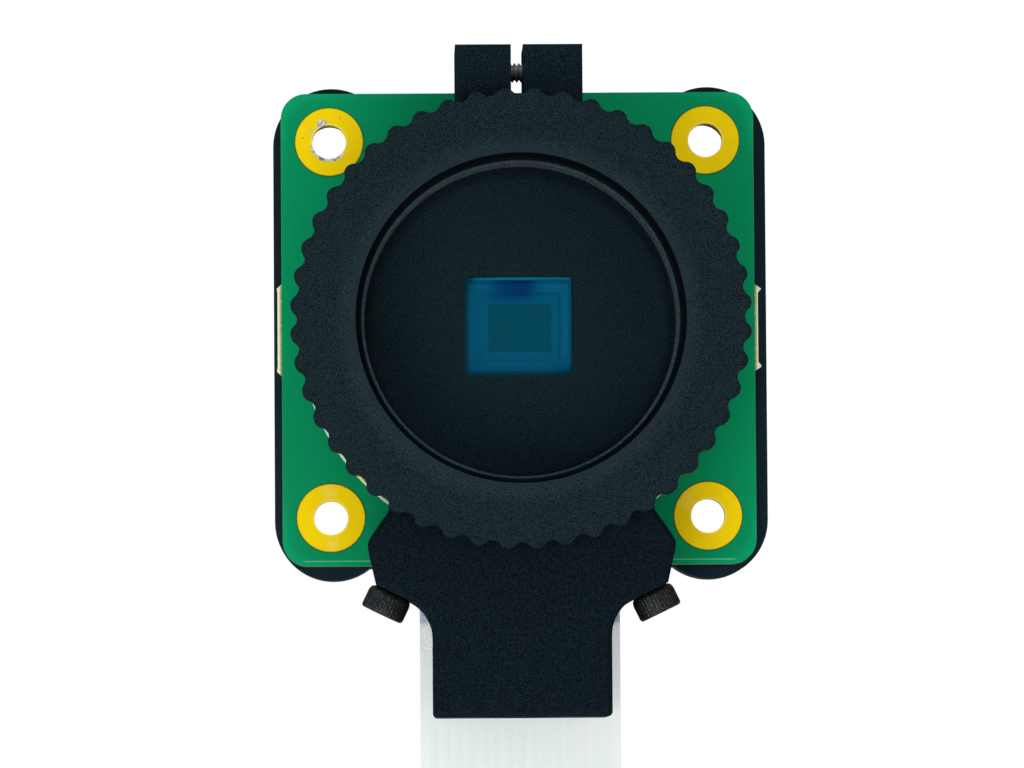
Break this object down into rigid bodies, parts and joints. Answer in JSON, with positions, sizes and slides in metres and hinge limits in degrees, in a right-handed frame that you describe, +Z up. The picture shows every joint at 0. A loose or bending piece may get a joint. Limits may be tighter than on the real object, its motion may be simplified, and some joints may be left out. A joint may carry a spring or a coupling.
{
  "type": "camera module",
  "caption": "Board camera with a scalloped back focus ring that takes a screw-in lens, a clamped metal housing, a tripod foot, a moulded rear cover and a flat ribbon cable.",
  "frame": {"origin": "centre of the mouth of the tripod thread, in the bottom face of the foot", "axes": "+X to the right seen from behind the lens side, as in the picture, +Z up along the foot towards the clamp lugs, -Y along the lens axis towards the scene"},
  "size_m": [0.0393, 0.0301, 0.185],
  "materials": {
    "black_anodised": "black anodised, fine matt blast",
    "black_steel": "black oxide, satin",
    "dark_steel": "plain steel, satin",
    "solder_mask": "green solder mask over woven glass laminate",
    "gold_plating": "gold plated copper, satin",
    "blue_glass": "blue infrared absorbing glass, polished",
    "clear_glass": "clear, polished",
    "silicon": "dark silicon, glossy",
    "package_ceramic": "dark moulded package",
    "gasket_rubber": "soft black silicone",
    "cover_plastic": "black moulded, fine texture",
    "nylon": "natural nylon",
    "connector_plastic": "natural moulded",
    "latch_plastic": "black moulded",
    "ribbon_film": "white polyester film, satin",
    "stiffener_film": "blue polyester film, satin",
    "tinned_copper": "tin plated, satin",
    "chip_epoxy": "black moulded",
    "can_metal": "plated lid, satin",
    "capacitor_ceramic": "brown ceramic, matt"
  },
  "bodies": {
    "camera": {"circuit_board": "solder_mask", "mounting_pads": "gold_plating", "main_housing": "black_anodised", "focus_lock_screw": "dark_steel", "tripod_mount": "black_anodised", "tripod_screw_left": "black_steel", "tripod_screw_right": "black_steel", "ir_cut_filter": "blue_glass", "sensor_gasket": "gasket_rubber", "sensor_package": "package_ceramic", "sensor_die": "silicon", "sensor_cover_glass": "clear_glass", "rear_cover": "cover_plastic", "housing_washer_left": "nylon", "housing_washer_right": "nylon", "housing_screw_left": "black_steel", "housing_screw_right": "black_steel", "cable_connector": "connector_plastic", "connector_contacts": "tinned_copper", "ribbon_cable": "ribbon_film", "ribbon_stiffener_near": "stiffener_film", "ribbon_stiffener_far": "stiffener_film", "ribbon_contacts_near": "tinned_copper", "ribbon_contacts_far": "tinned_copper", "voltage_regulators": "chip_epoxy", "clock_oscillator": "can_metal", "power_inductors": "chip_epoxy", "capacitors": "capacitor_ceramic", "resistors": "chip_epoxy"},
    "focus_ring": {"back_focus_ring": "black_anodised"},
    "cable_latch": {"connector_latch": "latch_plastic"}
  },
  "joints": [
    {"name": "back_focus", "type": "slide", "parent": "camera", "child": "focus_ring", "axis": [0, -1, 0], "range_m": [0, 0.0049]},
    {"name": "cable_latch_slide", "type": "slide", "parent": "camera", "child": "cable_latch", "axis": [0, 0, -1], "range_m": [0, 0.001]}
  ]
}
